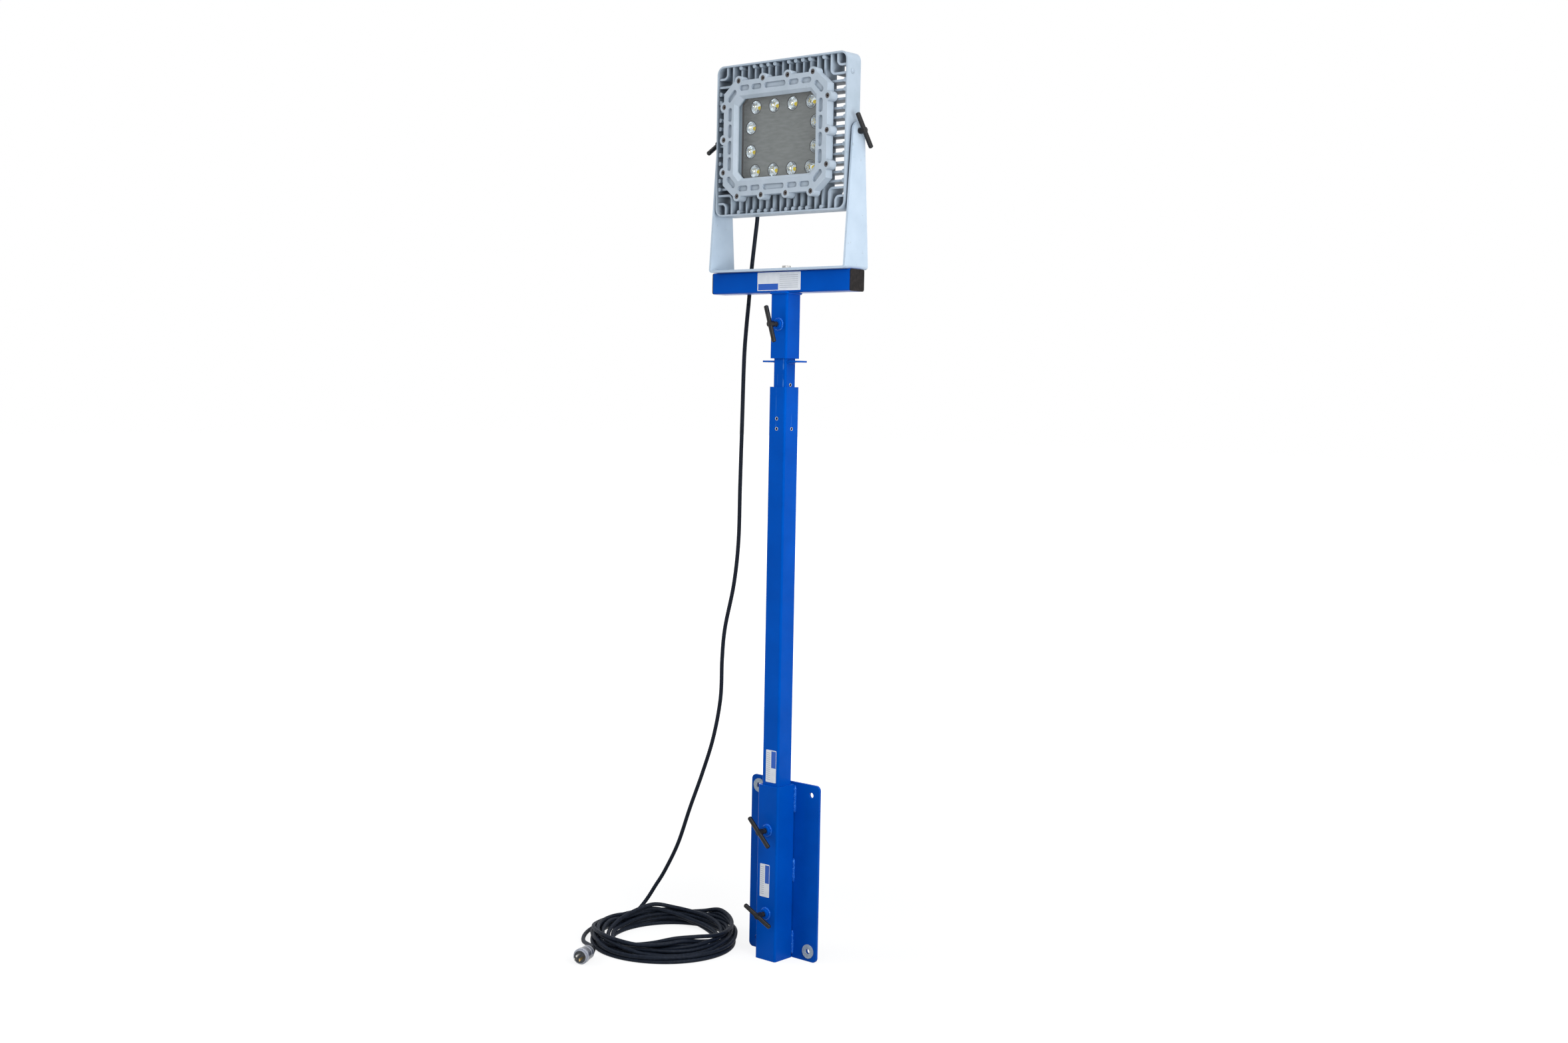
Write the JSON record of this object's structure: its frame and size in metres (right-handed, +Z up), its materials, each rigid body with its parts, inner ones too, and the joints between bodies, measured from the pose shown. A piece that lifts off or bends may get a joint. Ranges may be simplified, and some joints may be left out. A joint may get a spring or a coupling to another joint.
{
  "type": "pole-mounted led floodlight on a telescoping mast",
  "caption": "Finned LED floodlight in a tilting yoke on a telescoping square-tube mast, clamped in a bolt-on socket, with a coiled lead and plug.",
  "frame": {"origin": "centre of the back face of the mounting plate", "axes": "+Z up along the mast, -Y the way the lamp faces, +X to the right of someone facing the lamp"},
  "size_m": [0.7112, 0.4777, 2.1402],
  "materials": {
    "blue_paint": "gloss powder coat",
    "zinc": "zinc plated",
    "black_vinyl": "satin",
    "black_cap": "satin",
    "yoke_paint": "satin powder coat",
    "lamp_casting": "satin powder coat",
    "bezel_casting": "satin powder coat",
    "dark_screw": "black oxide",
    "window": "clear",
    "led_board": "brushed",
    "reflector": "mirror",
    "phosphor": "gloss",
    "cord_jacket": "satin",
    "plug_clear": "smoked clear",
    "plug_dark": "satin",
    "blade_brass": "bright"
  },
  "bodies": {
    "base": {"mount_plate": "blue_paint", "plate_washers": "zinc", "socket_tube": "blue_paint", "socket_floor": "blue_paint", "socket_bosses": "blue_paint", "mast_tube": "blue_paint", "cord_drop": "cord_jacket", "cord_coil": "cord_jacket", "cord_tail": "cord_jacket", "plug_body": "plug_clear", "plug_face": "plug_dark", "plug_blades": "blade_brass"},
    "head": {"extension_tube": "blue_paint", "stop_wings": "blue_paint", "neck_tube": "blue_paint", "neck_boss": "blue_paint", "crossbar": "blue_paint", "crossbar_cap_left": "black_cap", "crossbar_cap_right": "black_cap", "yoke": "yoke_paint", "yoke_bolt": "zinc", "cord_lead": "cord_jacket"},
    "lamp": {"lamp_housing": "lamp_casting", "bezel": "bezel_casting", "bezel_screws": "dark_screw", "window_glass": "window", "led_panel": "led_board", "reflector_cups": "reflector", "led_chips": "phosphor", "driver_case": "lamp_casting", "cable_gland": "black_cap"},
    "socket_upper_handle": {"socket_upper_screw": "zinc", "socket_upper_grip": "black_vinyl"},
    "socket_lower_handle": {"socket_lower_screw": "zinc", "socket_lower_grip": "black_vinyl"},
    "neck_handle": {"neck_screw": "zinc", "neck_grip": "black_vinyl"},
    "yoke_left_handle": {"yoke_left_screw": "zinc", "yoke_left_grip": "black_vinyl"},
    "yoke_right_handle": {"yoke_right_screw": "zinc", "yoke_right_grip": "black_vinyl"}
  },
  "joints": [
    {"name": "mast_extend", "type": "slide", "parent": "base", "child": "head", "axis": [0, 0, 1], "range_m": [-0.053, 0.6], "deforming": ["cord_drop"]},
    {"name": "lamp_tilt", "type": "hinge", "parent": "head", "child": "lamp", "pos_m": [0, -0.03815, 1.7472], "axis": [1, 0, 0], "range_deg": [-90, 90], "deforming": ["cord_lead"]},
    {"name": "socket_upper_turn", "type": "hinge", "parent": "base", "child": "socket_upper_handle", "pos_m": [0, -0.0699, 0.102], "axis": [0, -1, 0], "range_deg": [0, 450]},
    {"name": "socket_lower_turn", "type": "hinge", "parent": "base", "child": "socket_lower_handle", "pos_m": [0, -0.0699, -0.101], "axis": [0, -1, 0], "range_deg": [0, 450]},
    {"name": "neck_turn", "type": "hinge", "parent": "head", "child": "neck_handle", "pos_m": [0, -0.06355, 1.3104], "axis": [0, -1, 0], "range_deg": [0, 450]},
    {"name": "yoke_left_turn", "type": "hinge", "parent": "lamp", "child": "yoke_left_handle", "pos_m": [-0.2107, -0.03815, 1.7472], "axis": [-1, 0, 0], "range_deg": [0, 450]},
    {"name": "yoke_right_turn", "type": "hinge", "parent": "lamp", "child": "yoke_right_handle", "pos_m": [0.2107, -0.03815, 1.7472], "axis": [1, 0, 0], "range_deg": [0, 450]}
  ]
}
